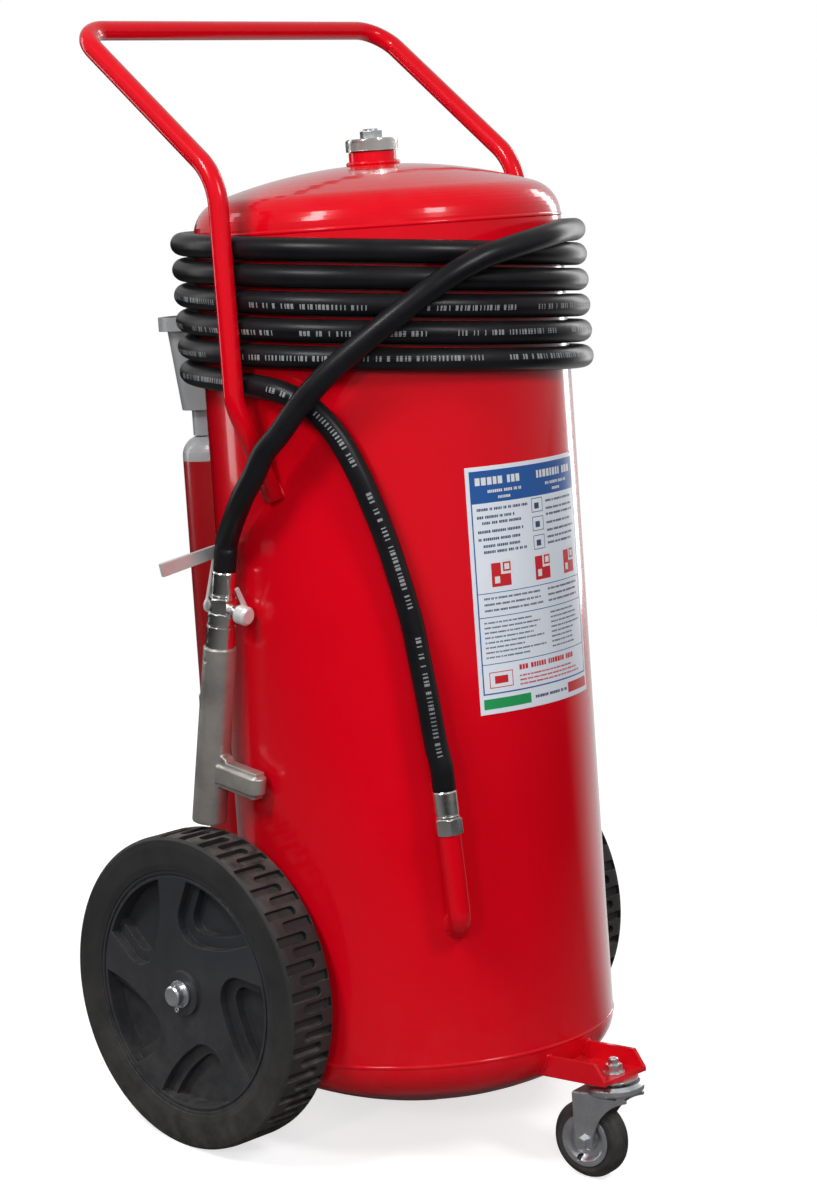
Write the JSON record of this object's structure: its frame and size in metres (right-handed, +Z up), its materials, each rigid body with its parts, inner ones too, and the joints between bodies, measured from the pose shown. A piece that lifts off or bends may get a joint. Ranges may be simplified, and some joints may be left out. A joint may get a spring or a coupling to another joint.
{
  "type": "wheeled fire extinguisher",
  "caption": "Red wheeled powder fire extinguisher with an outside gas cylinder, a wound hose with a lance, a push handle, main wheels and a caster.",
  "frame": {"origin": "on the floor, under the middle of the tank's lower end, midway between the main wheels", "axes": "+X towards the right main wheel, +Y towards the rear where the handle is, +Z up"},
  "size_m": [0.6468, 0.8252, 1.3342],
  "materials": {
    "red_paint": "gloss red enamel over welded steel",
    "dark_red_paint": "semi-gloss dark red enamel",
    "zinc_steel": "bright zinc plated steel",
    "nickel_plate": "nickel plated fitting",
    "cast_alloy": "cast light alloy, satin",
    "brass": "machined brass",
    "copper_pipe": "drawn copper pipe",
    "hose_rubber": "black rubber hose, slight gloss",
    "seal_rubber": "matt black rubber",
    "tyre_rubber": "worn grey-black solid rubber",
    "black_plastic": "moulded black plastic",
    "grey_paint": "silver-grey lacquer",
    "handwheel_red": "red moulded plastic",
    "seat_plastic": "white sealing plastic",
    "powder": "pale extinguishing powder",
    "label_film": "printed plastic film, no lettering"
  },
  "bodies": {
    "tank": {"tank_shell": "red_paint", "filler_neck": "red_paint", "outlet_pipe": "red_paint", "pickup_tube": "zinc_steel", "powder_charge": "powder", "gas_inlet_boss": "red_paint", "gas_inlet_tube": "zinc_steel", "hose_outlet_nut": "nickel_plate", "hose_outlet_ferrule": "nickel_plate", "hose_outlet_run": "hose_rubber", "hose_coil": "hose_rubber", "hose_lance_run": "hose_rubber", "hose_lance_ferrule": "nickel_plate", "lance_valve_body": "nickel_plate", "ball_seats": "seat_plastic", "lance_tube": "cast_alloy", "lance_nozzle": "nickel_plate", "lance_holder": "red_paint", "handle_tube": "red_paint", "axle_brackets": "red_paint", "main_axles": "zinc_steel", "axle_washers": "zinc_steel", "axle_split_pins": "zinc_steel", "caster_bracket": "red_paint", "caster_bolt": "zinc_steel", "caster_race": "zinc_steel", "gas_cylinder": "dark_red_paint", "cylinder_neck_ring": "grey_paint", "valve_guard": "grey_paint", "gas_valve": "brass", "gas_pipe": "copper_pipe", "pipe_nuts": "brass", "cylinder_cradle": "red_paint", "cylinder_strap": "zinc_steel", "strap_bolts": "zinc_steel", "label_plate": "label_film"},
    "cap_seal": {"cap_gasket": "seal_rubber", "cap_plug": "zinc_steel"},
    "filler_cap": {"filler_cap": "zinc_steel", "relief_valve": "zinc_steel"},
    "left_wheel": {"left_tyre": "tyre_rubber", "left_wheel_centre": "black_plastic", "left_bushes": "black_plastic"},
    "right_wheel": {"right_tyre": "tyre_rubber", "right_wheel_centre": "black_plastic", "right_bushes": "black_plastic"},
    "caster_fork": {"caster_fork": "zinc_steel", "caster_axle": "zinc_steel", "caster_balls": "zinc_steel"},
    "caster_wheel": {"caster_tyre": "tyre_rubber", "caster_discs": "zinc_steel", "caster_bush": "zinc_steel"},
    "lance_lever": {"lance_lever": "cast_alloy", "lever_hub": "cast_alloy", "lance_ball": "nickel_plate", "valve_stem": "zinc_steel"},
    "valve_handwheel": {"valve_handwheel": "handwheel_red", "valve_spindle": "zinc_steel"},
    "safety_pin": {"safety_pin": "zinc_steel"}
  },
  "joints": [
    {"name": "left_wheel_spin", "type": "hinge", "parent": "tank", "child": "left_wheel", "pos_m": [-0.2675, 0.14758, 0.1895], "axis": [1, 0, 0], "continuous": true},
    {"name": "right_wheel_spin", "type": "hinge", "parent": "tank", "child": "right_wheel", "pos_m": [0.2675, 0.14758, 0.1895], "axis": [1, 0, 0], "continuous": true},
    {"name": "caster_swivel", "type": "hinge", "parent": "tank", "child": "caster_fork", "pos_m": [0, -0.27679, 0.12726], "axis": [0, 0.1357, 0.9907], "continuous": true},
    {"name": "caster_wheel_spin", "type": "hinge", "parent": "caster_fork", "child": "caster_wheel", "pos_m": [-0.00515, -0.25087, 0.0465], "axis": [0.9903, 0.1379, -0.0189], "continuous": true},
    {"name": "lance_lever_turn", "type": "hinge", "parent": "tank", "child": "lance_lever", "pos_m": [-0.24175, 0.15386, 0.65133], "axis": [0, -0.9984, -0.0558], "range_deg": [0, 90]},
    {"name": "valve_turn", "type": "hinge", "parent": "tank", "child": "valve_handwheel", "pos_m": [0, 0.44424, 0.91243], "axis": [0, 0.1357, 0.9907], "range_deg": [0, 720]},
    {"name": "safety_pin_pull", "type": "slide", "parent": "tank", "child": "safety_pin", "axis": [1, 0, 0], "range_m": [0, 0.04]},
    {"name": "cap_lift", "type": "slide", "parent": "tank", "child": "cap_seal", "axis": [0, 0.1357, 0.9907], "range_m": [0, 0.0151]},
    {"name": "cap_turn", "type": "hinge", "parent": "cap_seal", "child": "filler_cap", "pos_m": [0, 0.15987, 1.18555], "axis": [0, 0.1357, 0.9907], "range_deg": [0, 1800]}
  ],
  "couplings": [
    {"joint": "cap_lift", "follows": "cap_turn", "m_per_rad": 0.00047746}
  ]
}
